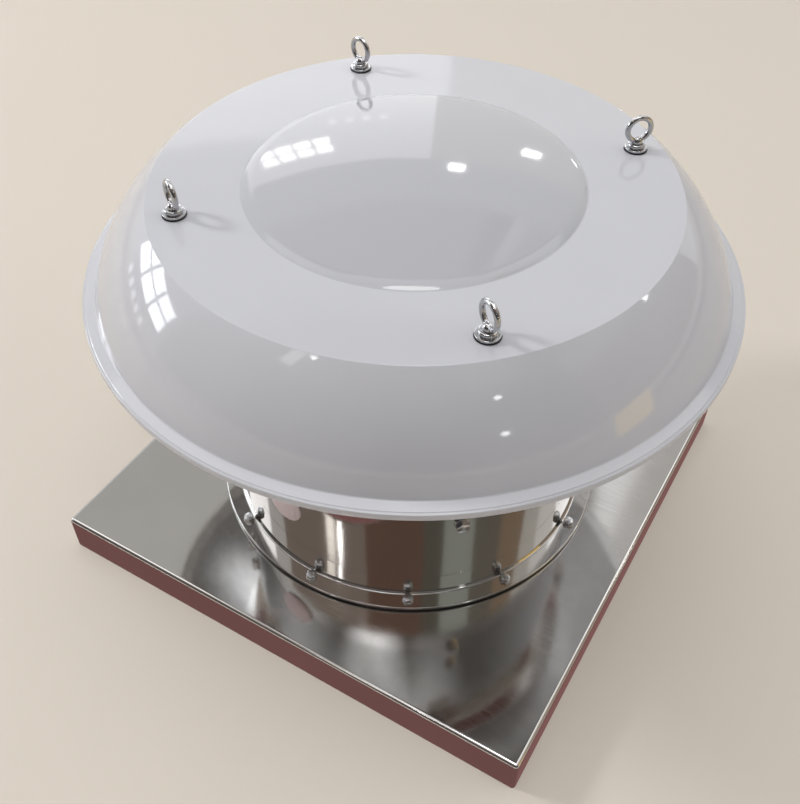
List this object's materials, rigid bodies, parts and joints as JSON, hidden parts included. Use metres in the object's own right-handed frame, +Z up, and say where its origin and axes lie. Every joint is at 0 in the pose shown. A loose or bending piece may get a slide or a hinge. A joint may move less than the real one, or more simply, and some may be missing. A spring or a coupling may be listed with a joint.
{
  "type": "exhaust hood fan",
  "caption": "Roof-mounted axial exhaust fan: white weather hood with a low domed crown on a bright wind tube, square curb cap, motor-driven impeller inside.",
  "frame": {"origin": "on the fan axis, in the plane of the curb cap skirt's lower edge", "axes": "+Z up along the fan axis, X and Y square to the curb cap's sides; the cable entry plug is near the -Y side"},
  "size_m": [0.652, 0.652, 0.477],
  "materials": {
    "stainless": "bright rolled stainless sheet",
    "stainless_fastener": "machined stainless, bright",
    "hood_gelcoat": "glossy white gelcoat on glass-fibre moulding",
    "rubber": "black moulded rubber",
    "motor_enamel": "grey enamel on cast aluminium",
    "electrical_steel": "stacked laminations, dull",
    "enamelled_copper": "varnished winding wire",
    "aluminium": "cast and rolled, satin",
    "shaft_steel": "ground bar",
    "nylon": "pale moulded nylon",
    "gland_plastic": "black moulded polyamide"
  },
  "bodies": {
    "housing": {"base_plate": "stainless", "flange_gasket": "rubber", "wind_tube": "stainless", "lower_flange": "stainless", "upper_flange": "stainless", "flange_bolts": "stainless_fastener", "flange_nuts": "stainless_fastener", "cable_entry_plug": "nylon", "motor_plate": "stainless", "bracket_arms": "stainless", "bracket_bolts": "stainless_fastener", "bracket_nuts": "stainless_fastener", "lower_end_shield": "motor_enamel", "motor_frame": "motor_enamel", "upper_end_shield": "motor_enamel", "shield_screws": "stainless_fastener", "stator_core": "electrical_steel", "windings": "enamelled_copper", "bearing_outer_rings": "shaft_steel", "motor_bolts": "stainless_fastener", "terminal_box": "motor_enamel", "terminal_box_lid": "motor_enamel", "lid_screws": "stainless_fastener", "cable_gland": "gland_plastic", "hood_stays": "stainless", "stay_bolts": "stainless_fastener", "stay_nuts": "stainless_fastener", "hood": "hood_gelcoat", "hood_pads": "rubber", "sealing_washers": "rubber", "eye_washers": "stainless_fastener", "eye_bolts": "stainless_fastener", "eye_nuts": "stainless_fastener"},
    "fan_wheel": {"shaft": "shaft_steel", "rotor_core": "electrical_steel", "rotor_end_rings": "aluminium", "bearing_inner_rings": "shaft_steel", "impeller_key": "shaft_steel", "impeller_hub": "aluminium", "impeller_blades": "aluminium", "retaining_washer": "stainless_fastener", "retaining_bolt": "stainless_fastener"}
  },
  "joints": [
    {"name": "fan_wheel_spin", "type": "hinge", "parent": "housing", "child": "fan_wheel", "pos_m": [0, 0, 0.15], "axis": [0, 0, 1], "continuous": true}
  ]
}
